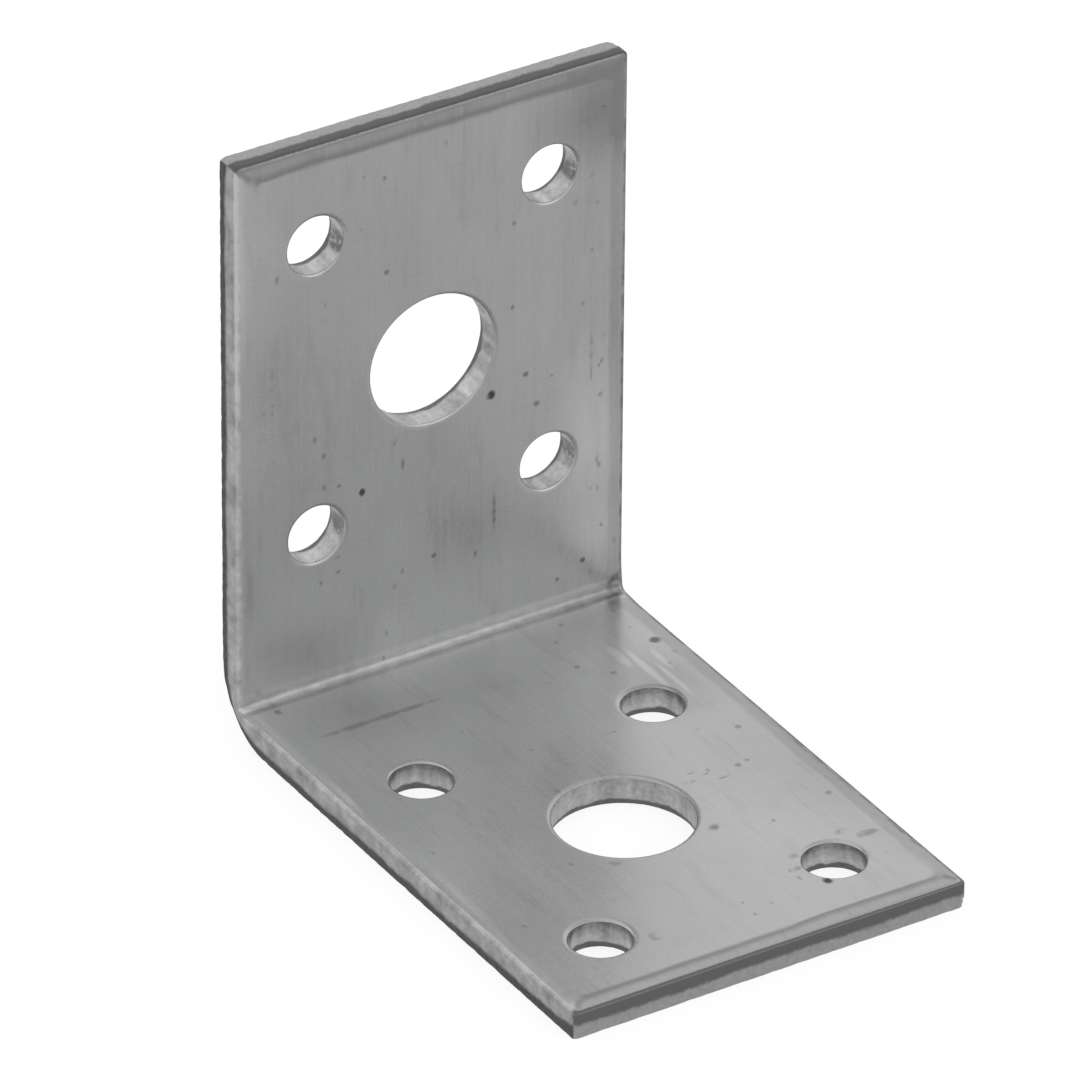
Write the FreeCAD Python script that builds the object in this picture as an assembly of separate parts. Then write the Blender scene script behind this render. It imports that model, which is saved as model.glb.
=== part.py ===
import FreeCAD, Part
import os

os.makedirs("parts", exist_ok=True)

# Folded sheet. X runs across the width, the upright stands at the back (+Y), the base leg lies
# on Z = 0 and points to -Y. The origin is the middle of the rectangle the part stands on.
width = 34.6
thick = 2.5
up_length = 50.0
base_length = 50.5
bend_in = 1.2
bend_out = 5.3
corner_r = 0.4

# Sheared edge, counted from the inner face, which the tool entered: a rolled-over rim, a smooth
# land, then torn metal that leans in towards the outer face. The two cropped ends are torn
# deeper than the two long edges, which were slit on the rolled strip.
rim_width = 1.45
rim_depth = 0.42
end_torn_depth = 1.1
end_torn_lean = 0.14
side_torn_depth = 0.5
side_torn_lean = 0.08

# Holes, pierced from the inner face. The same pattern lies in both legs, its first row a little
# further from the fold in the base leg.
small_r = 2.45
large_r = 5.5
hole_rim_width = 0.35
hole_rim_depth = 0.2
hole_torn_depth = 0.45
hole_torn_lean = 0.1
column_pitch = 20.6
row_pitch = 25.35
first_to_large = 12.25
up_first_row = 16.1
base_first_row = 17.7

# How far every cutter reaches past the metal it cuts.
over = 1.0

heel_y = base_length / 2
vec = FreeCAD.Vector
RIGHT = vec(1, 0, 0)
FRONT = vec(0, -1, 0)
UP = vec(0, 0, 1)


def line(a, b):
    return Part.makeLine(a, b)


def chain(points):
    return [line(a, b) for a, b in zip(points, points[1:])]


def heel(u, v):
    """Point of the middle section, u forward from the back face and v up from the underside."""
    return vec(0, heel_y - u, v)


def rim(corner, inward, down, rim_w, rim_d):
    """Rolled-over rim: a tight arc off the land, then a wide one that runs out flat."""
    tight_r = rim_d / 2
    wide_r = (rim_w ** 2 - rim_w * rim_d + rim_d ** 2) / rim_d
    tight_centre = corner + inward * tight_r + down * rim_d
    wide_centre = corner + inward * rim_w + down * wide_r
    towards = tight_centre - wide_centre
    towards.normalize()
    meet = wide_centre + towards * wide_r
    on_land = corner + down * rim_d
    on_face = corner + inward * rim_w
    tight_middle = (on_land - tight_centre).normalize() + towards
    wide_middle = towards - down
    return [Part.Arc(on_land, tight_centre + tight_middle.normalize() * tight_r, meet).toShape(),
            Part.Arc(meet, wide_centre + wide_middle.normalize() * wide_r, on_face).toShape()]


def quarter(start, end, centre, radius):
    """Arc of 90 degrees from start to end about the centre."""
    middle = start + end - centre * 2
    middle.normalize()
    return Part.Arc(start, centre + middle * radius, end).toShape()


def section():
    """The sheet seen from its side: outer faces, torn edge, land, rim and inner faces."""
    inner_top = heel(thick, up_length)
    inner_front = heel(base_length, thick)
    inner_centre = heel(thick + bend_in, thick + bend_in)
    outer_centre = heel(bend_out, bend_out)
    top_rim = rim(inner_top, -UP, -FRONT, rim_width, rim_depth)
    front_rim = rim(inner_front, -FRONT, -UP, rim_width, rim_depth)
    edges = chain([heel(0, bend_out), heel(0, up_length - end_torn_lean),
                   heel(end_torn_depth, up_length), heel(thick - rim_depth, up_length)])
    edges += top_rim
    edges.append(line(heel(thick, up_length - rim_width), heel(thick, thick + bend_in)))
    edges.append(quarter(heel(thick, thick + bend_in), heel(thick + bend_in, thick),
                         inner_centre, bend_in))
    edges.append(line(heel(thick + bend_in, thick), heel(base_length - rim_width, thick)))
    edges += front_rim
    edges += chain([heel(base_length, thick - rim_depth), heel(base_length, end_torn_depth),
                    heel(base_length - end_torn_lean, 0), heel(bend_out, 0)])
    edges.append(quarter(heel(bend_out, 0), heel(0, bend_out), outer_centre, bend_out))
    return Part.Face(Part.Wire(Part.__sortEdges__(edges)))


def edge_cutter_face(corner, outward, down):
    """What is cut away outside a long edge, drawn in the plane of outward and down."""
    above = bend_in / 2
    slope = side_torn_lean / side_torn_depth
    points = [corner - outward * rim_width,
              corner - outward * rim_width - down * above,
              corner + outward * over - down * above,
              corner + outward * over + down * (thick + over),
              corner - outward * (side_torn_lean + slope * over) + down * (thick + over),
              corner + down * (thick - side_torn_depth),
              corner + down * rim_depth]
    edges = chain(points)
    edges += rim(corner, -outward, down, rim_width, rim_depth)
    return Part.Face(Part.Wire(Part.__sortEdges__(edges)))


def side_cutters(side):
    """Cutters along one long edge of the sheet: up the upright, round the fold, along the base."""
    outward = RIGHT * side
    edge = RIGHT * (side * width / 2)
    bend_top = heel(thick, thick + bend_in) + edge
    bend_front = heel(thick + bend_in, thick) + edge
    on_upright = edge_cutter_face(bend_top, outward, -FRONT)
    on_base = edge_cutter_face(bend_front, outward, -UP)
    axis_point = heel(thick + bend_in, thick + bend_in)
    return [on_upright.extrude(UP * (up_length - thick - bend_in + over)),
            on_base.revolve(axis_point, RIGHT, 90),
            on_base.extrude(FRONT * (base_length - thick - bend_in + over))]


def corner_cutter(corner, along, outward, down):
    """Takes the sharp corner off the sheet; corner lies on the inner face."""
    a = corner - outward * corner_r
    b = corner - along * corner_r
    arc = quarter(a, b, a - along * corner_r, corner_r)
    edges = [arc] + chain([b, b + outward * over, corner + outward * over + along * over,
                           a + along * over, a])
    face = Part.Face(Part.Wire(Part.__sortEdges__(edges)))
    face.translate(-down * over)
    return face.extrude(down * (thick + over * 2))


def hole_cutter(centre, down, radius):
    """A pierced hole: rounded rim at the inner face, smooth wall, torn cone to the outer face."""
    lean = hole_torn_lean * (hole_torn_depth + over) / hole_torn_depth
    out = RIGHT
    points = [centre + out * (radius + hole_rim_width),
              centre + out * (radius + hole_rim_width) - down * over,
              centre - down * over,
              centre + down * (thick + over),
              centre + out * (radius + lean) + down * (thick + over),
              centre + out * radius + down * (thick - hole_torn_depth),
              centre + out * radius + down * hole_rim_depth]
    edges = chain(points)
    edges += rim(centre + out * radius, out, down, hole_rim_width, hole_rim_depth)
    face = Part.Face(Part.Wire(Part.__sortEdges__(edges)))
    return face.revolve(centre, down, 360)


def leg_holes(first, along, down):
    """The pattern of one leg; first is the middle of its first row on the inner face."""
    cutters = [hole_cutter(first + along * first_to_large, down, large_r)]
    for row in (0, 1):
        for side in (-1, 1):
            centre = first + along * (row * row_pitch) + RIGHT * (side * column_pitch / 2)
            cutters.append(hole_cutter(centre, down, small_r))
    return cutters


sheet = section()
sheet.translate(RIGHT * (-width / 2))
sheet = sheet.extrude(RIGHT * width)

cutters = []
for side in (-1, 1):
    edge = RIGHT * (side * width / 2)
    cutters += side_cutters(side)
    cutters.append(corner_cutter(heel(thick, up_length) + edge, UP, RIGHT * side, -FRONT))
    cutters.append(corner_cutter(heel(base_length, thick) + edge, FRONT, RIGHT * side, -UP))
cutters += leg_holes(heel(thick, up_first_row), UP, -FRONT)
cutters += leg_holes(heel(base_first_row, thick), FRONT, -UP)

for cutter in cutters:
    sheet = sheet.cut(cutter)
sheet = sheet.removeSplitter()
solid = sheet.Solids[0]

print("solids", len(sheet.Solids), "valid", solid.isValid(), "volume", round(solid.Volume, 1))
print("box", solid.BoundBox)
solid.exportStep("parts/angle_bracket.step")
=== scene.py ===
import math

import bpy
import bmesh
import numpy as np
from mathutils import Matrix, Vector
from mathutils.geometry import delaunay_2d_cdt


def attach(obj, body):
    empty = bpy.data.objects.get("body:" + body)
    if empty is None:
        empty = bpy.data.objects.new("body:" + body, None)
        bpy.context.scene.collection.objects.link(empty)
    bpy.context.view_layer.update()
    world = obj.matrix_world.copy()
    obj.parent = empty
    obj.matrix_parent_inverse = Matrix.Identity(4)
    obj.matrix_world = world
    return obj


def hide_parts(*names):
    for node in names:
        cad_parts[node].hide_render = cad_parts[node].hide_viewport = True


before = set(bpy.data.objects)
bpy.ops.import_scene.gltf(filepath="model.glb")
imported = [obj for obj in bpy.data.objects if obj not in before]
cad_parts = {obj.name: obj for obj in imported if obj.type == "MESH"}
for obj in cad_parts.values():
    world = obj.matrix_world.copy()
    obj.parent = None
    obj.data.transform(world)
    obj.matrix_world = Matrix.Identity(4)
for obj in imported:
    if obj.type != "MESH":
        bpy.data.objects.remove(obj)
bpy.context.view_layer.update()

# ---------------------------------------------------------------------------------------------
# The sheet. Rolled steel 2.5 mm thick with a zinc coat, cut off a strip as a flat blank and
# folded once, square. Every point is laid out on the flat blank first: x across it, s down it
# from the upright's top end, and d into it from the inner face, all in millimetres.
width = 34.6
thick = 2.5
up_length = 50.0
base_length = 50.5
bend_in = 1.2
bend_out = 5.3
heel_y = base_length / 2
arc_start = up_length - thick - bend_in
arc_end = arc_start + bend_in * math.pi / 2
arc_middle = (arc_start + arc_end) / 2
blank_length = arc_end + base_length - thick - bend_in
# The fold's hollow is a little tighter than its nominal radius, most of all at its two ends.
hollow_r = 0.8
hollow_less_right = 0.35
hollow_less_left = 0.2
hollow_end_x = 14.3
hollow_end_run = 2.6


def fold(points):
    """Takes points (x, s, d) of the blank to their places on the folded part."""
    x, s, d = points.T
    at_right = np.clip((x - hollow_end_x) / hollow_end_run, 0, 1)
    at_left = np.clip((-x - hollow_end_x) / hollow_end_run, 0, 1)
    tight = hollow_r - hollow_less_right * at_right - hollow_less_left * at_left
    straight = bend_in - tight
    length = 2 * straight + tight * math.pi / 2
    run = np.clip((s - arc_start) / (arc_end - arc_start), 0, 1) * length
    turn = np.clip((run - straight) / tight, 0, math.pi / 2)
    after = np.maximum(run - straight - tight * math.pi / 2, 0) + np.maximum(s - arc_end, 0)
    ahead = np.maximum(straight - run, 0) + np.maximum(arc_start - s, 0)
    inner_u = thick + tight - tight * np.cos(turn) + after
    inner_v = thick + tight - tight * np.sin(turn) + ahead
    half_arc = arc_middle - (up_length - bend_out)
    swing = np.clip((s - arc_middle) / half_arc, -1, 1) * math.pi / 4 + math.pi / 4
    past = np.maximum(s - arc_middle - half_arc, 0)
    before = np.maximum(arc_middle - half_arc - s, 0)
    outer_u = bend_out - bend_out * np.cos(swing) + past
    outer_v = bend_out - bend_out * np.sin(swing) + before
    deep = d / thick
    u = inner_u * (1 - deep) + outer_u * deep
    v = inner_v * (1 - deep) + outer_v * deep
    return np.stack([x, heel_y - u, v], axis=1)


# ---------------------------------------------------------------------------------------------
# The sheared edge. The blade enters at the inner face and leaves a rolled-over rim, a smooth
# land, then torn metal that leans in towards the outer face and is rough to the touch. The two
# cropped ends are torn deeper than the two long edges, which were slit on the rolled strip.
corner_r = 0.4
corner_r_growth = 0.3
corner_steps = 8
rim_width = 1.45
rim_depth = 0.42
end_torn_depth = 1.1
end_torn_lean = 0.14
side_torn_depth = 0.5
side_torn_lean = 0.08
# How much deeper the torn zone is at the top end, at the front end, along the left edge, at that
# edge's front, and on both sides where they come near an end.
top_torn_more = 0.15
front_torn_more = 0.04
left_torn_more = 0.22
left_front_torn_more = 0.3
near_end_torn_more = 0.35
# Spacing of the points along the edge, closer at the fold.
edge_step = 0.24
fold_step = 0.1
fold_from = 44.2
fold_to = 50.4
half_blank = np.array([width / 2, blank_length / 2])
blank_middle = np.array([0.0, blank_length / 2])


def wander(along, step, seed):
    """Smooth random height between -1 and 1 that changes over about one step."""
    knots = np.random.default_rng(seed).uniform(-1, 1, 6000)
    at = np.asarray(along, float) / step + 1000
    low = np.floor(at).astype(int)
    part = at - low
    part = part * part * (3 - 2 * part)
    return knots[low] * (1 - part) + knots[low + 1] * part


def edge_points():
    """Each point's place on the blank's outline, as a share of its half sizes, and its normal."""
    inside = half_blank - corner_r
    across = np.arange(-inside[0], inside[0], edge_step)
    down = np.concatenate([np.arange(corner_r, fold_from, edge_step),
                           np.arange(fold_from, fold_to, fold_step),
                           np.arange(fold_to, blank_length - corner_r, edge_step)])
    down -= blank_length / 2
    share = []
    normal = []
    sides = [((across, -1), 1, (0, -1)), ((down, 1), 0, (1, 0)),
             ((-across, 1), 1, (0, 1)), ((-down, -1), 0, (-1, 0))]
    for (run, end), fixed, out in sides:
        for value in run:
            point = np.zeros(2)
            point[fixed] = end
            point[1 - fixed] = value / inside[1 - fixed]
            share.append(point)
            normal.append(out)
        corner = np.sign(share[-1])
        start = math.atan2(out[1], out[0])
        for angle in np.linspace(0, math.pi / 2, corner_steps)[1:-1]:
            share.append(corner)
            normal.append((math.cos(start + angle), math.sin(start + angle)))
    return np.array(share), np.array(normal, float)


share, normal = edge_points()
gap = np.linalg.norm(np.diff(share * half_blank, axis=0, append=(share * half_blank)[:1]), axis=1)
edge_run = np.cumsum(gap)
end_edge = normal[:, 1] ** 2


def outline(inset, depth):
    """One ring of the blank's edge, moved in by inset and lying at that depth."""
    inset = np.broadcast_to(np.asarray(inset, float), edge_run.shape)
    radius = corner_r + corner_r_growth * inset
    reach = half_blank - (inset + radius)[:, None]
    flat = blank_middle + share * reach + normal * radius[:, None]
    return np.column_stack([flat, np.broadcast_to(depth, edge_run.shape)])


def rim_line(rim_w, rim_d, steps=6):
    """Inset and depth down a rolled-over rim: a wide arc off the face, then a tight one."""
    tight = rim_d / 2
    wide = (rim_w ** 2 - rim_w * rim_d + rim_d ** 2) / rim_d
    turn = math.atan2(rim_w - tight, wide - rim_d)
    line = [(rim_w - wide * math.sin(a), wide - wide * math.cos(a))
            for a in np.linspace(0, turn, steps)]
    line += [(tight - tight * math.sin(a), rim_d - tight * math.cos(a))
             for a in np.linspace(turn, math.pi / 2, 4)[1:]]
    return line


down_blank = outline(0, 0)[:, 1]
from_end = np.minimum(down_blank, blank_length - down_blank)
on_left = (normal[:, 0] < 0) * (1 - end_edge)
at_end = end_torn_depth + np.where(normal[:, 1] < 0, top_torn_more, front_torn_more)
torn_depth = side_torn_depth + (at_end - side_torn_depth) * end_edge
torn_depth += near_end_torn_more * np.exp(-from_end / 4.0) * (1 - end_edge)
torn_depth += on_left * (left_torn_more + 0.1 * wander(edge_run, 4.0, 7))
torn_depth += on_left * left_front_torn_more * np.exp(-(blank_length - down_blank) / 3.0)
torn_lean = side_torn_lean + (end_torn_lean - side_torn_lean) * end_edge
torn_top = torn_depth * (1 + 0.12 * wander(edge_run, 2.6, 3) + 0.07 * wander(edge_run, 0.7, 4))
rim_share = 1 + 0.1 * wander(edge_run, 5.0, 5) + 0.04 * wander(edge_run, 1.3, 6)

# Each ring has a mark: 0 on the coated face, 1 where the land begins, 2 where it is torn, 3 at
# the outer face. The finishes read it.
rim_marks = (0, 0, 0, 0, 0, 0.75, 0.95, 1, 1)
edge_rings = [(outline(rim_width + beside, 0), 0) for beside in (0.6, 0.45, 0.3)]
edge_rings.append((outline(rim_width * rim_share + 0.12, 0), 0))
for mark, (inset, depth) in zip(rim_marks, rim_line(rim_width, rim_depth)):
    edge_rings.append((outline(inset * rim_share, depth), mark))
for down in (0.3, 0.65, 1.0):
    depth = rim_depth + (thick - torn_top - rim_depth) * down
    edge_rings.append((outline(0, depth), 1 + down))
for row, down in enumerate((0.14, 0.3, 0.46, 0.62, 0.8, 1.0)):
    rough = 0.05 * wander(edge_run, 0.55, 20 + row) + 0.035 * wander(edge_run, 0.26, 40 + row)
    proud = -0.1 * down * torn_lean
    inset = torn_lean * down + np.maximum(rough + 0.03, proud) * (1 - 0.5 * down)
    edge_rings.append((outline(inset, thick - torn_top * (1 - down)), 2 + down))
edge_rings.append((outline(end_torn_lean + 0.55, thick), 0))

# ---------------------------------------------------------------------------------------------
# The holes. A large bolt hole and four screw holes in each leg, pierced from the inner face
# before folding: a small rounded rim, a smooth wall scored by the punch, and a torn exit.
small_r = 2.45
large_r = 5.5
hole_rim_width = 0.35
hole_rim_depth = 0.2
hole_torn_depth = 0.55
hole_torn_lean = 0.2
column_pitch = 20.6
row_pitch = 25.35
first_to_large = 12.25
up_first_row = 16.1
base_first_row = 17.7
large_points = 168
small_points = 96
# Flat rings beside the rim, which join it to the face.
beside_rim = (1.1, 0.9, 0.7, 0.5, 0.35, 0.2)


def hole_places():
    """Middle and radius of each hole on the blank."""
    up_first = up_length - up_first_row
    base_first = arc_end + base_first_row - thick - bend_in
    places = []
    for first, way in ((up_first, -1), (base_first, 1)):
        places.append((0.0, first + way * first_to_large, large_r))
        for row in (0, 1):
            for side in (-1, 1):
                places.append((side * column_pitch / 2, first + way * row * row_pitch, small_r))
    return places


def pierced(x, s, radius, seed):
    """Rings down one hole, from the flat inner face to the flat outer face."""
    count = large_points if radius == large_r else small_points
    angle = np.arange(count) * 2 * math.pi / count
    run = angle * radius
    turns = 2 * math.pi * radius

    def ring(grow, depth):
        size = radius + np.broadcast_to(grow, angle.shape)
        return np.column_stack([x + size * np.cos(angle), s + size * np.sin(angle),
                                np.broadcast_to(depth, angle.shape)])

    def round_wander(step, number):
        """The same as wander, but it meets itself after one turn."""
        mix = run / turns
        return wander(run, step, number) * (1 - mix) + wander(run - turns, step, number) * mix

    torn = hole_torn_depth * (1 + 0.3 * round_wander(1.6, seed)
                              + 0.15 * round_wander(0.5, seed + 1))
    rings = [(ring(hole_rim_width + beside, 0), 0) for beside in beside_rim]
    for inset, depth in rim_line(hole_rim_width, hole_rim_depth, 5):
        rings.append((ring(inset, depth), 0))
    for down in (0.3, 0.65, 1.0):
        depth = hole_rim_depth + (thick - torn - hole_rim_depth) * down
        rings.append((ring(0.012 + 0.012 * round_wander(0.45, seed + 2), depth), 1 + down))
    for row, down in enumerate((0.25, 0.6, 1.0)):
        rough = 0.03 * round_wander(0.4, seed + 5 + row) + 0.02
        rings.append((ring(hole_torn_lean * down + np.maximum(rough, 0) * (1 - 0.6 * down),
                           thick - torn * (1 - down)), 2 + down))
    rings.append((ring(hole_torn_lean + 0.5, thick), 0))
    return rings


# ---------------------------------------------------------------------------------------------
# The marks of use. Pits and specks of dirt in the coat, broken scratches, streaks rubbed brighter,
# and wide patches where the coat is lighter or darker. The larger ones are listed one by one, the
# finest dirt is scattered, and each has its own ragged outline.

# Specks on the upright: across, up, half size, how dark.
up_specks = ((5.13, 23.66, 0.36, 1.0), (-6.36, 18.61, 0.36, 0.95), (8.21, 24.52, 0.24, 0.6),
             (9.25, 21.61, 0.26, 0.5), (-4.16, 37.31, 0.26, 0.5), (7.02, 30.8, 0.2, 0.5),
             (-4.31, 45.53, 0.2, 0.4), (7.08, 38.13, 0.2, 0.4), (0.08, 10.92, 0.22, 0.5),
             (13.5, 6.22, 0.24, 0.7), (11.2, 5.2, 0.22, 0.5), (-8.37, 19.85, 0.18, 0.4),
             (-8.45, 13.56, 0.18, 0.4), (-8.45, 12.26, 0.18, 0.4), (4.3, 31.4, 0.28, 0.9))
# Specks on the base leg: across, back, half size, how dark.
base_specks = ((8.12, 14.9, 0.26, 0.4), (10.05, 12.73, 0.26, 0.4), (-14.73, 21.23, 0.3, 0.4),
               (14.06, 1.41, 0.26, 0.4), (11.15, -3.14, 0.24, 0.4), (14.91, -9.95, 0.3, 0.4),
               (6.65, -18.63, 0.24, 0.4), (8.25, -20.0, 0.42, 1.0), (15.29, 15.08, 0.42, 0.75))
# Scratches and nicks: middle, half width, half length along the leg, how dark.
up_scratches = ((-9.53, 34.85, 0.07, 1.8, 0.5), (-3.45, 22.3, 0.07, 0.6, 0.5),
                (-2.72, 20.0, 0.07, 0.55, 0.5), (5.46, 13.2, 0.07, 1.6, 0.5),
                (14.9, 15.2, 0.14, 1.2, 0.5), (14.1, 24.5, 0.1, 3.0, 0.3),
                (-14.2, 28.0, 0.08, 5.0, 0.25), (16.7, 3.1, 0.8, 1.2, 0.8))
base_scratches = ((-8.4, 16.5, 6.0, 0.42, 0.34), (8.2, -2.9, 0.5, 0.12, 0.55),
                  (9.4, -4.0, 0.4, 0.12, 0.55), (6.9, -3.3, 0.4, 0.12, 0.4),
                  (7.4, -2.3, 0.3, 0.12, 0.35), (7.26, -17.4, 0.35, 0.3, 0.4),
                  (4.99, -9.46, 0.5, 0.4, 0.5), (12.69, -14.94, 0.6, 0.4, 0.5),
                  (14.5, -16.1, 0.8, 0.4, 0.4), (8.1, -15.84, 0.7, 0.4, 0.4),
                  (-6.65, -19.71, 0.7, 0.5, 0.35), (-3.91, -9.82, 0.5, 0.5, 0.35),
                  (16.95, -12.3, 0.16, 1.0, 0.8), (16.98, -15.8, 0.2, 0.9, 1.0),
                  (16.9, -18.0, 0.18, 1.6, 0.9), (16.9, -3.2, 0.12, 1.2, 0.6),
                  (16.9, -6.4, 0.12, 1.5, 0.6), (16.9, -9.6, 0.14, 1.4, 0.8))
# Brighter rubbed streaks on the base leg, to the right of the fold.
base_streaks = ((12.6, 12.0, 0.35, 3.4, 0.7), (13.6, 9.5, 0.25, 3.0, 0.6),
                (11.7, 14.6, 0.5, 1.8, 0.6), (14.3, 12.6, 0.3, 1.8, 0.5))
# Wide soft patches: middle, half width, half length, change of tone.
up_patches = ((15.5, 46.0, 9.0, 7.0, -1.1),
              (14.0, 17.0, 5.0, 11.0, 0.8),
              (14.5, 8.0, 4.0, 4.5, 0.5),
              (-3.0, 5.5, 7.0, 4.0, 0.35),
              (0.0, 15.0, 6.0, 5.0, 0.25),
              (-16.0, 7.0, 4.0, 6.0, 0.15),
              (-16.0, 42.0, 5.0, 14.0, 0.3),
              (-16.0, 25.0, 5.0, 7.0, 0.3))
base_patches = ((15.5, -6.0, 8.0, 16.0, -0.3),
                (13.0, 9.5, 6.0, 7.0, -0.6),
                (0.0, 16.5, 6.0, 6.0, -0.2),
                (-8.5, 18.0, 8.5, 7.0, -0.65),
                (0.0, 2.0, 9.0, 13.0, -0.3),
                (9.0, -14.0, 10.0, 12.0, 0.15))
scratch_soft_edge = 0.08
fine_specks = 70
all_over_share = 0.65
pit_depth = 0.03
# Points lie close together as far as mark_reach, counted from a mark's middle to its rim.
mark_core = 0.65
mark_rim = 1.12
mark_reach = 1.6


def on_upright(rows):
    """Rows that begin with across and up, moved to the blank."""
    return [(x, up_length - z, *rest) for x, z, *rest in rows]


def on_base(rows):
    """Rows that begin with across and back, moved to the blank."""
    return [(x, arc_end + heel_y - thick - bend_in - y, *rest) for x, y, *rest in rows]


specks = [(x, s, size, size, deep)
          for x, s, size, deep in on_upright(up_specks) + on_base(base_specks)]
# Fine dirt, all over, and a little more of it along the right side.
chance = np.random.default_rng(31)
for _ in range(fine_specks):
    if chance.random() < all_over_share:
        across = chance.uniform(-15, 15)
    else:
        across = chance.uniform(14, 16.5)
    size = chance.uniform(0.11, 0.2)
    specks.append((across, chance.uniform(3, blank_length - 3), size, size * chance.uniform(1, 1.8),
                   chance.uniform(0.15, 0.4)))
scratches = [(x, s, wide + scratch_soft_edge, tall, deep)
             for x, s, wide, tall, deep in on_upright(up_scratches) + on_base(base_scratches)]
streaks = on_base(base_streaks)
patches = on_upright(up_patches) + on_base(base_patches)


def far_from(mark, x, s):
    """Distance from a mark's middle, 1 at its rim."""
    return np.hypot((x - mark[0]) / mark[2], (s - mark[1]) / mark[3])


def within(far, low, high):
    """1 nearer than low, 0 beyond high, smooth between."""
    part = np.clip((high - far) / (high - low), 0, 1)
    return part * part * (3 - 2 * part)


def ragged(mark, x, s, seed):
    """How much of a mark lies at each point, with an uneven outline."""
    angle = np.arctan2(s - mark[1], x - mark[0])
    uneven = 0.22 * wander(np.cos(angle) * 1.4, 1.0, seed)
    uneven += 0.18 * wander(np.sin(angle) * 1.4 + 20, 1.0, seed)
    return within(far_from(mark, x, s) / (1 + uneven), mark_core, mark_rim)


def worn(x, s):
    """Darkness and change of tone that the marks give at each point of the inner face."""
    dark = np.zeros(len(x))
    light = np.zeros(len(x))
    for number, mark in enumerate(specks):
        dark += ragged(mark, x, s, 300 + number) * mark[4]
    for number, mark in enumerate(scratches):
        broken = 0.55 + 0.8 * (wander(x, 0.5, 400 + number) + wander(s, 0.4, 500 + number))
        dark += ragged(mark, x, s, 600 + number) * np.clip(broken, 0, 1) * mark[4]
    for number, mark in enumerate(streaks):
        light += ragged(mark, x, s, 700 + number) * mark[4]
    for mark in patches:
        light += within(far_from(mark, x, s), 0.0, 1.0) * mark[4]
    return np.array((dark, light))


def mark_points():
    """Close-set points under every speck, scratch and streak."""
    found = []
    for mark in specks + scratches + streaks:
        step_x, step_s = (min(max(half / 4, 0.07), 0.2) for half in mark[2:4])
        reach_x, reach_s = (mark_reach * half for half in mark[2:4])
        x, s = np.meshgrid(np.arange(mark[0] - reach_x, mark[0] + reach_x, step_x),
                           np.arange(mark[1] - reach_s, mark[1] + reach_s, step_s))
        x = x.ravel()
        s = s.ravel()
        near = far_from(mark, x, s) < mark_reach
        found.append(np.column_stack([x[near], s[near]]))
    return np.concatenate(found)


# ---------------------------------------------------------------------------------------------
# The bracket's mesh. The rings down the edge and the holes are joined in strips, the flat inner
# and outer faces are filled between them, and the whole blank is folded. It is one piece of
# steel, so it is one closed mesh.
ZINC, CUT, BORE = 0, 1, 2
points = []
cut_mark = []
rim_shade = []
wall_kind = []
quads = []
quad_finish = []
# Painted shade on the rim, on the flat ring beside it and on each ring down it: the top, front and
# right edges are painted darker. Below 0 it is a painted highlight, as on the left edge.
first_shaded_ring = 3
first_corner_ring = 6
first_nicked_ring = 9
top_rim_shade = (1.1, 2.1, 1.7, 1.0, 0.8, 0.8, 1.3, 1.3, 0, 0)
front_rim_shade = (1.2, 2.1, 1.6, 0.6, 0.2, 0.1, 0, 0, 0, 0)
right_rim_shade = (0.2, 0.6, 0.7, 0.7, 0.65, 0.6, 1.0, 1.6, 1.0, 0)
left_rim_shade = (0, -0.1, -0.1, -0.2, -0.6, -0.8, -1.9, -1.9, -1.0, 0)
left_base_rim_shade = (0, -0.1, -0.2, -0.9, -1.7, -1.9, 0.0, 0.2, 0, 0)
# How strongly the holes of the base leg are painted: shade high up the wall and on the far rim,
# and light low on the wall and round the rest of the rim.
small_wall_shade = 0.9
large_wall_shade = 0.25


def rim_shade_at(ring):
    """Painted shade on that ring of the edge, point by point, and the nicks on the base's right
    edge.
    """
    row = ring - first_shaded_ring
    if not 0 <= row < len(top_rim_shade):
        return np.zeros(len(edge_run))
    left = left_rim_shade[row] * (0.35 + 0.65 * within(down_blank, 12, 26))
    right = right_rim_shade[row] * (1 + 0.35 * within(np.abs(down_blank - 28), 0, 12))
    if ring >= first_nicked_ring:
        nicked = np.where(down_blank > arc_end + 3, 0.8 + 1.4 * wander(edge_run, 0.9, 41), 0)
        right = right * (1 + np.maximum(nicked, 0))
    ends = np.where(normal[:, 1] < 0, top_rim_shade[row], front_rim_shade[row])
    lefts = np.where(down_blank < arc_middle, left, left_base_rim_shade[row])
    sides = np.where(normal[:, 0] > 0, right, lefts)
    # Painted shade where the edge turns round a corner.
    corner = 4 * end_edge * (1 - end_edge) if ring >= first_corner_ring else 0
    return ends * end_edge + sides * (1 - end_edge) + 1.6 * corner


def add_rings(rings, wall, shade=0.0):
    """Joins rings in closed strips and returns the numbers of the first and the last ring.

    A hole's rim has painted shade on its far side and a painted highlight elsewhere, as strongly as
    shade says."""
    numbers = []
    for ring, mark in rings:
        start = sum(len(p) for p in points)
        points.append(ring)
        cut_mark.append(np.full(len(ring), float(mark)))
        if wall == CUT:
            rim_shade.append(rim_shade_at(len(numbers)))
            wall_kind.append(end_edge)
        else:
            # Painted shade on the far side of a hole's rim and a painted highlight round the rest.
            middle = ring[:, 1].mean()
            far_side = np.clip((middle - ring[:, 1]) / np.ptp(ring[:, 1]) * 2, 0, 1) ** 3
            rim_shade.append(shade * (ring[:, 2] > 0.01) * (1.7 * far_side - 0.8))
            wall_kind.append(np.full(len(ring), shade))
        numbers.append(np.arange(start, start + len(ring)))
    for row in range(1, len(rings)):
        upper, lower = numbers[row - 1], numbers[row]
        bare = max(rings[row - 1][1], rings[row][1]) > 0 and row < len(rings) - 1
        quads.append(np.column_stack([upper, lower, np.roll(lower, -1), np.roll(upper, -1)]))
        quad_finish.append(np.full(len(upper), wall if bare else ZINC))
    return numbers[0], numbers[-1]


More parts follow.
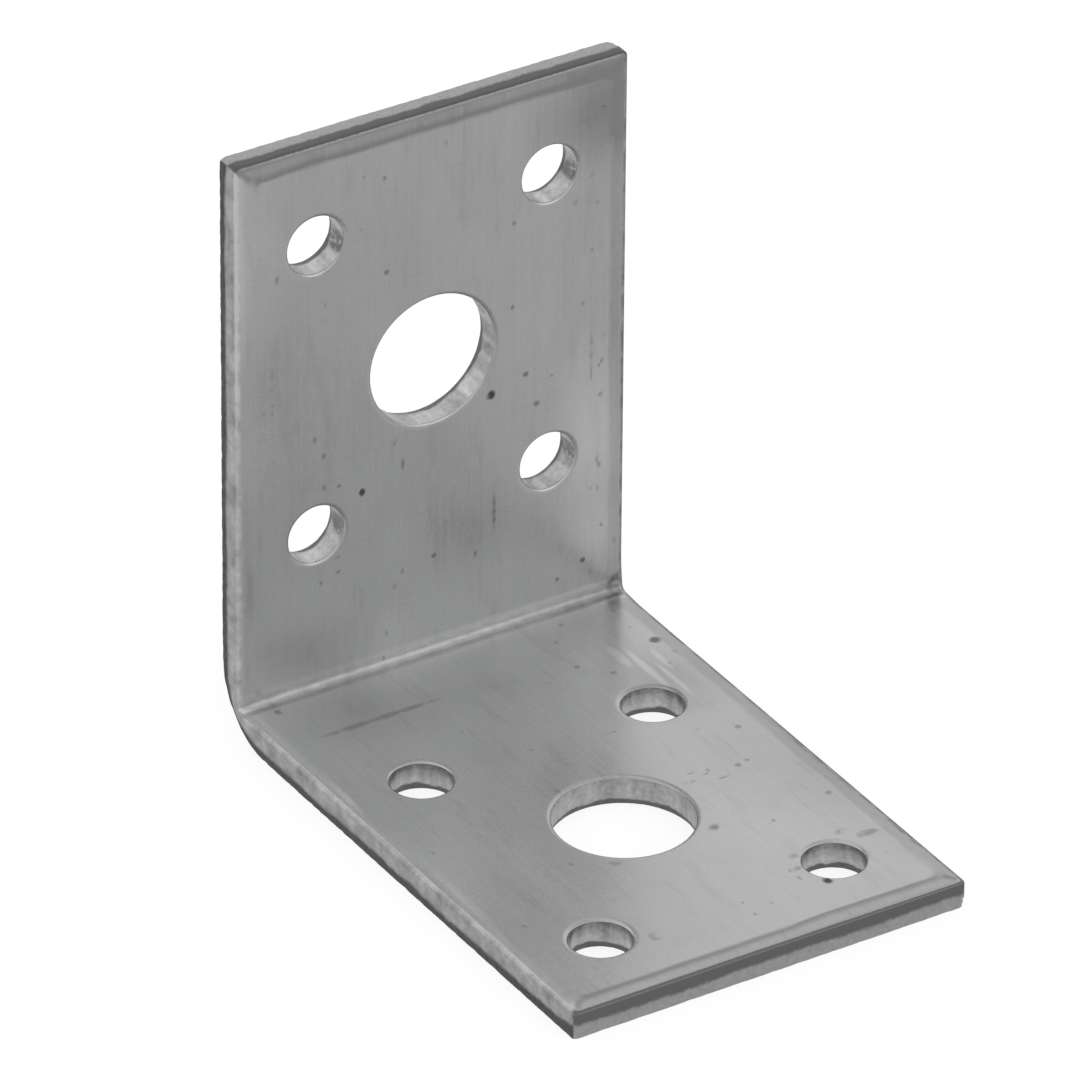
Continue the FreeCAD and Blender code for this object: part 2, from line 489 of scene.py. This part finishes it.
first_rings = []
last_rings = []
for place, (x, s, radius) in enumerate(hole_places()):
    in_base = large_wall_shade if radius == large_r else small_wall_shade
    shade = in_base if s > arc_middle else 0.0
    first, last = add_rings(pierced(x, s, radius, 100 + 20 * place), BORE, shade)
    first_rings.append(first)
    last_rings.append(last)
first, last = add_rings(edge_rings, CUT)
first_rings.append(first)
last_rings.append(last)


def grid(columns, rows, depth, clear, extra=()):
    """Points of a face's inside and any extra ones, kept clear of its rings."""
    x, s = np.meshgrid(columns, rows)
    x = x.ravel()
    s = s.ravel()
    if len(extra):
        open_face = np.ones(len(x), bool)
        for mark in specks + scratches + streaks:
            open_face &= far_from(mark, x, s) > mark_reach + 0.1
        x = np.concatenate([x[open_face], extra[:, 0]])
        s = np.concatenate([s[open_face], extra[:, 1]])
    edge_clear = rim_width + 0.7
    keep = np.abs(x) < width / 2 - edge_clear
    keep &= (s > edge_clear) & (s < blank_length - edge_clear)
    for hole_x, hole_s, radius in hole_places():
        keep &= np.hypot(x - hole_x, s - hole_s) > radius + clear
    return np.column_stack([x[keep], s[keep], np.full(keep.sum(), depth)])


def fill(rings, inside):
    """Triangles between a face's rings, over its inside points; the outline's ring is last."""
    start = sum(len(p) for p in points)
    points.append(inside)
    for values in (cut_mark, rim_shade, wall_kind):
        values.append(np.zeros(len(inside)))
    every = np.concatenate(points)
    numbers = np.concatenate(rings + [np.arange(start, start + len(inside))])
    place = {number: at for at, number in enumerate(numbers)}
    edges = [(place[a], place[b]) for ring in rings for a, b in zip(ring, np.roll(ring, -1))]
    flat = [Vector(every[number, :2]) for number in numbers]
    found = delaunay_2d_cdt(flat, edges, [], 0, 1e-7)
    origin = [numbers[source[0]] for source in found[3]]
    holes = [set(ring.tolist()) for ring in rings[:-1]]
    kept = []
    for face in found[2]:
        corners = [origin[corner] for corner in face]
        if not any(hole.issuperset(corners) for hole in holes):
            kept.append(corners)
    return np.array(kept)


# The faces' own points lie close together where the sheet bends.
columns = np.linspace(-14.9, 14.9, 34)
rows = np.concatenate([np.arange(2.9, 45.6, 0.9), np.linspace(46.0, 48.5, 26),
                       np.arange(49.2, blank_length - 2.8, 0.9)])
inner_triangles = fill(first_rings, grid(columns, rows, 0, hole_rim_width + 1.2, mark_points()))
columns = np.linspace(-16.1, 16.1, 12)
rows = np.concatenate([np.arange(1.6, 44.0, 3.0), np.linspace(44.4, 50.1, 30),
                       np.arange(51.5, blank_length - 1.2, 3.0)])
outer_triangles = fill(last_rings, grid(columns, rows, thick, hole_torn_lean + 0.9))

blank = np.concatenate(points)
on_face = blank[:, 2] < 0.5
dark_marks, coat_light = worn(blank[:, 0], blank[:, 1]) * on_face
blank[:, 2] += pit_depth * np.clip(dark_marks - 0.7, 0, 0.3) / 0.3 * on_face
# The fold is not quite even along its line. The long edges lie a little inside the stated width,
# and where the sheet bends its outer face is drawn in further.
edge_in_from = 14.5
edge_in = 0.05
fold_edge_in = 0.22
past_fold = blank[:, 1] - arc_middle
near_fold = np.exp(-(past_fold / 1.5) ** 2)
uneven = 0.03 * wander(blank[:, 0], 2.4, 11) + 0.015 * wander(blank[:, 0], 0.9, 12)
blank[:, 2] += uneven * near_fold * (1 - blank[:, 2] / thick)
at_side = (np.abs(blank[:, 0]) - edge_in_from) / (width / 2 - edge_in_from)
at_side = np.clip(at_side, 0, 1) ** 2
wide_fold = np.exp(-(past_fold / 2.6) ** 2)
fold_more = wide_fold * (fold_edge_in * blank[:, 2] / thick - edge_in)
blank[:, 0] -= np.sign(blank[:, 0]) * at_side * (edge_in + fold_more)
folded = fold(blank) * 0.001

mesh = bpy.data.meshes.new("angle_bracket_sheet")
all_quads = np.concatenate(quads)
faces = [tuple(int(n) for n in face) for face in all_quads]
faces += [tuple(int(n) for n in face) for face in inner_triangles]
faces += [tuple(int(n) for n in face) for face in outer_triangles]
mesh.from_pydata([tuple(p) for p in folded], [], faces)
finish = np.zeros(len(faces), dtype=np.int32)
finish[:len(all_quads)] = np.concatenate(quad_finish)
mesh.polygons.foreach_set("material_index", finish)

# Painted light on both sides of the fold's line, where the bend's reflection falls darkest, more to
# the right.
bright_places = (-1.7, -1.16, -0.83, -0.52, -0.25, 0.0, 0.25, 0.58, 1.04, 1.5, 1.9)
bright_tones = (0.0, 0.0, 0.45, 1.0, 0.25, -0.1, 0.1, 1.0, 0.12, 0.0, 0.0)
fold_light = np.interp(past_fold, bright_places, bright_tones)
fold_light *= (1 - blank[:, 2] / thick) * (0.95 + 0.9 * blank[:, 0] / width)
# coat_light carries the wide patches, the rubbed streaks and the fold's painted light.
layers = {"cut_mark": np.concatenate(cut_mark), "rim_shade": np.concatenate(rim_shade),
          "wall_kind": np.concatenate(wall_kind), "dark_marks": dark_marks,
          "coat_light": coat_light + fold_light}
for name, values in layers.items():
    layer = mesh.attributes.new(name, "FLOAT", "POINT")
    layer.data.foreach_set("value", values.astype(np.float32))
tidy = bmesh.new()
tidy.from_mesh(mesh)
bmesh.ops.recalc_face_normals(tidy, faces=tidy.faces)
tidy.to_mesh(mesh)
tidy.free()
mesh.shade_smooth()
mesh.set_sharp_from_angle(angle=math.radians(38))
bracket = bpy.data.objects.new("bracket_sheet", mesh)
bpy.context.scene.collection.objects.link(bracket)

# ---------------------------------------------------------------------------------------------
# The finishes. Zinc over rolled steel is semi-gloss, with fine lines down the strip; the cut
# edge is burnished bare steel above and grey torn metal below; the hole walls keep some zinc.


class Wire:
    """One output of a material's nodes. Arithmetic on it adds Math nodes."""

    def __init__(self, tree, socket=None):
        self.tree = tree
        self.socket = socket

    def node(self, kind, settings, sockets, out=0):
        made = self.tree.nodes.new(kind)
        for name, value in settings.items():
            if name == "stops":
                ramp = made.color_ramp.elements
                for at, stop in enumerate(value):
                    element = ramp[at] if at < len(ramp) else ramp.new(stop[0])
                    element.position = stop[0]
                    element.color = stop[1]
            else:
                setattr(made, name, value)
        for name, value in sockets.items():
            if isinstance(value, Wire):
                self.tree.links.new(value.socket, made.inputs[name])
            else:
                made.inputs[name].default_value = value
        return Wire(self.tree, made.outputs[out])

    def maths(self, operation, *values):
        return self.node("ShaderNodeMath", {"operation": operation}, dict(enumerate(values)))

    def __add__(self, other):
        return self.maths("ADD", self, other)

    def __radd__(self, other):
        return self.maths("ADD", other, self)

    def __sub__(self, other):
        return self.maths("SUBTRACT", self, other)

    def __rsub__(self, other):
        return self.maths("SUBTRACT", other, self)

    def __mul__(self, other):
        return self.maths("MULTIPLY", self, other)

    def __rmul__(self, other):
        return self.maths("MULTIPLY", other, self)

    def step(self, low, high):
        """0 below low, 1 above high, smooth between."""
        return self.node("ShaderNodeMapRange", {"interpolation_type": "SMOOTHSTEP"},
                         {"Value": self, "From Min": low, "From Max": high})

    def blend(self, first, second):
        """A colour from first to second as this value goes from 0 to 1."""
        return self.node("ShaderNodeMix", {"data_type": "RGBA"},
                         {0: self, 6: first, 7: second}, out=2)


def start_finish(name):
    """A new metal with its shader, a wire to build its nodes from, and the place on the part."""
    material = bpy.data.materials.new(name)
    material.use_nodes = True
    shader = material.node_tree.nodes["Principled BSDF"]
    shader.inputs["Metallic"].default_value = 1.0
    wire = Wire(material.node_tree)
    metres = wire.node("ShaderNodeTexCoord", {}, {}, out=3)
    place = wire.node("ShaderNodeVectorMath", {"operation": "SCALE"}, {0: metres, 3: 1000.0})
    return material, shader, wire, place


def connect(shader, name, wire):
    wire.tree.links.new(wire.socket, shader.inputs[name])


def bump(shader, height):
    """Raises the surface by that height in millimetres."""
    connect(shader, "Normal", height.node("ShaderNodeBump", {}, {"Strength": 1.0,
                                                                 "Distance": 0.001,
                                                                 "Height": height}))


def along(place, axis):
    """One number of the place in millimetres: 0 across, 1 back, 2 up."""
    return place.node("ShaderNodeSeparateXYZ", {}, {0: place}, out=axis)


def layer_value(wire, name):
    """A value that the mesh carries at its points."""
    return wire.node("ShaderNodeAttribute", {"attribute_name": name}, {}, out=2)


def grain(place, stretch, detail=2.0):
    """Noise between 0 and 1 with that many waves a millimetre along x, y and z."""
    stretched = place.node("ShaderNodeVectorMath", {"operation": "MULTIPLY"},
                           {0: place, 1: stretch})
    return place.node("ShaderNodeTexNoise", {"noise_dimensions": "3D"},
                      {"Vector": stretched, "Scale": 1.0, "Detail": detail, "Roughness": 0.5})


def about(noise, much):
    """The noise moved to lie about zero, that much from end to end."""
    return (noise - 0.5) * much


def spot(place, centre, radii):
    """1 inside an oval spot of that middle and those half sizes, soft to 0 at its rim."""
    away = place.node("ShaderNodeVectorMath", {"operation": "SUBTRACT"}, {0: place, 1: centre})
    scaled = place.node("ShaderNodeVectorMath", {"operation": "MULTIPLY"},
                        {0: away, 1: tuple(1 / r for r in radii)})
    return 1 - place.node("ShaderNodeVectorMath", {"operation": "LENGTH"},
                          {0: scaled}, out=1).step(0.55, 1.0)


def grey(value, tint=0.0):
    return (value * (1 - tint), value, value * (1 + tint), 1.0)


# The zinc coat: its tone is 0 where it is dullest and about 1 where it is brightest.
dull_zinc = grey(0.30, 0.006)
bright_zinc = grey(0.80, 0.006)
dirt = grey(0.09)
up_face = heel_y - thick
fold_centre = (0, up_face - 0.25, thick + 0.3)
fold_radii = (1000.0, 0.9, 0.9)
zinc, shader, wire, place = start_finish("zinc_coat")
lines = grain(place, (4.5, 0.05, 0.05), 3.0)
cloud = grain(place, (0.22, 0.12, 0.12), 3.0)
speckle = grain(place, (2.6, 1.6, 1.6), 2.0)
rubs = grain(place, (0.16, 0.3, 2.6), 3.0).step(0.58, 0.75)
smudges = grain(place, (1.1, 0.2, 0.2), 3.0).step(0.52, 0.74)
crumple = grain(place, (0.9, 1.5, 1.5), 3.0)
dark = layer_value(wire, "dark_marks")
rim_shade_and_nicks = layer_value(wire, "rim_shade")
at_fold = spot(place, fold_centre, fold_radii)
tone = about(lines, 0.45) + about(cloud, 0.6) + about(speckle, 0.3) + 0.55
# The rims' painted shade and highlight, and the nicks on the right edge, darken or lighten the
# tone.
tone = tone - rubs * 0.12 - smudges * 0.22 - rim_shade_and_nicks * 0.6
# Painted shade over the fold's highlight line, mottled, and deepest towards the right end.
tone = tone - at_fold * (about(crumple, 1.6) + along(place, 0).step(4.0, 17.0) * 0.7 + 0.45)
tone = tone + layer_value(wire, "coat_light")
coat = (tone * 0.32 + 0.2).blend(dull_zinc, bright_zinc)
rough = about(speckle, 0.1) + about(lines, 0.08) + about(cloud, 0.12) + 0.27
connect(shader, "Base Color", dark.maths("MINIMUM", dark, 1.0).blend(coat, dirt))
connect(shader, "Roughness", rough + rim_shade_and_nicks * 0.06 + dark * 0.2 + at_fold * 0.1)
bump(shader, about(lines, 0.0014) + about(speckle, 0.0005) + about(cloud, 0.01))

# The cut edge: rim_shade also puts its painted shade and highlight on the slit sides' land, and
# wall_kind is 1 on the two ends.
land_starts = (0.45, 0.7)
torn_starts = (1.72, 2.14)
cut, shader, wire, place = start_finish("cut_edge")
cut_depth = layer_value(wire, "cut_mark")
mottle = grain(place, (3.0, 3.0, 3.0), 4.0)
coarse = grain(place, (0.7, 0.7, 0.7), 3.0)
on_end = layer_value(wire, "wall_kind").step(0.1, 0.4)
at_top = along(place, 2).step(30.0, 45.0)
at_right = along(place, 0).step(-4.0, 14.0)
torn = (cut_depth + about(mottle, 0.3)).step(*torn_starts)
burnished = cut_depth + about(mottle, 0.3) - at_top * 0.5 - at_right * (1 - at_top) * 0.25 + 0.25
burnished = burnished.step(*land_starts)
slit_tone = about(coarse, 1.3) + about(mottle, 0.5) + 0.5 - layer_value(wire, "rim_shade") * 0.35
# Painted shade: the top end's rim and land are coloured darker than the front end's, though both
# are the same steel.
rim_colour = at_top.blend(grey(0.44), grey(0.33))
land_colour = at_top.blend(grey(0.17), grey(0.125))
ends = torn.blend(burnished.blend(rim_colour, land_colour), mottle.blend(grey(0.34), grey(0.56)))
sides = torn.blend(slit_tone.blend(grey(0.22), grey(0.72)), mottle.blend(grey(0.08), grey(0.19)))
connect(shader, "Base Color", on_end.blend(sides, ends))
connect(shader, "Roughness", torn * 0.2 + 0.34 + about(mottle, 0.2))
bump(shader, (mottle - 0.5) * (torn * 0.05 + 0.004))

# The pierced wall: scored along the punch's way, with painted shade on the right of each wall in
# the upright's holes and high up the walls in the base leg.
wall_torn_starts = (1.9, 2.1)
large_hole_shade = ((5.0, up_face + 1.3, 30.6), (0.5, 0.5, 0.5))
small_hole_shade_radii = (1.0, 1.3, 1.0)
small_hole_shades = ((-7.95, 40.8), (12.65, 40.8), (-7.9, 15.9), (12.75, 16.1))
bore, shader, wire, place = start_finish("pierced_wall")
cut_depth = layer_value(wire, "cut_mark")
mottle = grain(place, (2.5, 2.5, 2.5), 4.0)
in_upright = along(place, 1).step(up_face - 0.2, up_face - 0.1)
scores = grain(place, (1.1, 0.15, 1.1), 2.0) * in_upright
scores = scores + grain(place, (1.1, 1.1, 0.15), 2.0) * (1 - in_upright)
# Painted shade on the right side of each wall in the upright's holes, mottled.
painted_wall_shade = spot(place, *large_hole_shade)
for across, up in small_hole_shades:
    painted_wall_shade = painted_wall_shade + spot(place, (across, up_face + 0.9, up), small_hole_shade_radii)
painted_wall_shade = painted_wall_shade * mottle.step(0.36, 0.6)
torn = (cut_depth + about(mottle, 0.3)).step(*wall_torn_starts)
wall = about(scores, 1.2) + about(mottle, 0.8) + 0.5 - painted_wall_shade * 0.9
# Painted shade high up the walls of the base leg's holes, and painted light low down them.
wall = wall + (cut_depth.step(0.9, 2.0) - 0.62) * 0.6 * layer_value(wire, "wall_kind")
wall = wall.blend(grey(0.25), grey(0.75))
connect(shader, "Base Color", torn.blend(wall, mottle.blend(grey(0.12), grey(0.26))))
connect(shader, "Roughness", torn * 0.2 + 0.3 + about(mottle, 0.15))
bump(shader, (mottle - 0.5) * (torn * 0.04 + 0.01))

for material in (zinc, cut, bore):
    mesh.materials.append(material)
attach(bracket, "root")
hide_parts("angle_bracket")

# ---------------------------------------------------------------------------------------------
# The floor. A plain pale sheet that the part stands on; the camera sees it as the white
# background, with the part's own soft shadow kept.
floor_half = 0.6
floor_gap = 0.00002
paper_colour = (0.8, 0.8, 0.8, 1.0)
# How far the floor's own white takes the place of the lit paper, for the camera and in the metal.
white_for_camera = 0.76
white_in_metal = 0.85
white_strength = 1.13
floor_mesh = bpy.data.meshes.new("floor")
corners = [(-floor_half, -floor_half, 0), (floor_half, -floor_half, 0),
           (floor_half, floor_half, 0), (-floor_half, floor_half, 0)]
floor_mesh.from_pydata(corners, [], [(0, 1, 2, 3)])
floor = bpy.data.objects.new("floor", floor_mesh)
floor.location.z = -floor_gap
bpy.context.scene.collection.objects.link(floor)
paper = bpy.data.materials.new("floor_paper")
paper.use_nodes = True
tree = paper.node_tree
tree.nodes.clear()
wire = Wire(tree)
seen = wire.node("ShaderNodeLightPath", {}, {}, out=0)
glossy = wire.node("ShaderNodeLightPath", {}, {}, out=3)
matt = wire.node("ShaderNodeBsdfDiffuse", {}, {"Color": paper_colour})
white = wire.node("ShaderNodeEmission", {}, {"Color": seen.blend(grey(0.584), grey(1.0)),
                                             "Strength": white_strength})
mixed = wire.node("ShaderNodeMixShader", {}, {0: seen * white_for_camera + glossy * white_in_metal,
                                              1: matt, 2: white})
out = tree.nodes.new("ShaderNodeOutputMaterial")
tree.links.new(mixed.socket, out.inputs["Surface"])
floor_mesh.materials.append(paper)

# ---------------------------------------------------------------------------------------------
# The light. A pale surround, darker at the horizon and overhead, and white where the camera sees
# it, and one soft panel at the front right.
bands = ((0.0, 0.5), (0.12, 0.62), (0.3, 0.9), (0.5, 0.97), (0.64, 0.95), (0.76, 0.76),
         (0.86, 0.76), (1.0, 0.85))
panel_way = (0.5, -0.75, 0.5)
panel_distance = 0.8
panel_size = 0.5
panel_radiance = 0.34
world = bpy.data.worlds.new("surround")
bpy.context.scene.world = world
world.use_nodes = True
tree = world.node_tree
tree.nodes.clear()
wire = Wire(tree)
camera_ray = wire.node("ShaderNodeLightPath", {}, {}, out=0)
towards = wire.node("ShaderNodeTexCoord", {}, {}, out=0)
height = wire.node("ShaderNodeSeparateXYZ", {}, {0: towards}, out=2)
tent = wire.node("ShaderNodeValToRGB", {"stops": [(at, grey(tone)) for at, tone in bands]},
                 {"Fac": height})
seen_white = camera_ray.blend(tent, grey(1.0))
back = wire.node("ShaderNodeBackground", {}, {"Color": seen_white, "Strength": 1.0})
out = tree.nodes.new("ShaderNodeOutputWorld")
tree.links.new(back.socket, out.inputs["Surface"])

panel = bpy.data.lights.new("front_panel", "AREA")
panel.shape = "RECTANGLE"
panel.size = panel.size_y = panel_size
panel.energy = panel_radiance * math.pi * panel_size * panel_size
holder = bpy.data.objects.new("front_panel", panel)
aim = Vector(panel_way).normalized()
holder.location = Vector((0, 0, 0.02)) + aim * panel_distance
holder.rotation_euler = aim.to_track_quat("Z", "Y").to_euler()
bpy.context.scene.collection.objects.link(holder)

# ---------------------------------------------------------------------------------------------
# The camera, where the photograph was taken from: a long lens about a metre away, aimed at the
# middle of the part and turned by half a degree.
stand = Vector((-0.44717, -0.70401, 0.54025))
target = Vector((-0.00101, 0.00576, 0.02163))
roll = math.radians(0.46895)
camera_data = bpy.data.cameras.new("camera")
camera_data.sensor_width = 36.0
camera_data.lens = 438.83
camera_data.clip_start = 0.05
camera_data.clip_end = 20.0
camera = bpy.data.objects.new("camera", camera_data)
bpy.context.scene.collection.objects.link(camera)
camera.location = stand
camera.rotation_euler = (stand - target).to_track_quat("Z", "Y").to_euler()
camera.rotation_euler.rotate_axis("Z", roll)
bpy.context.scene.camera = camera
bpy.context.scene.view_settings.view_transform = "Standard"
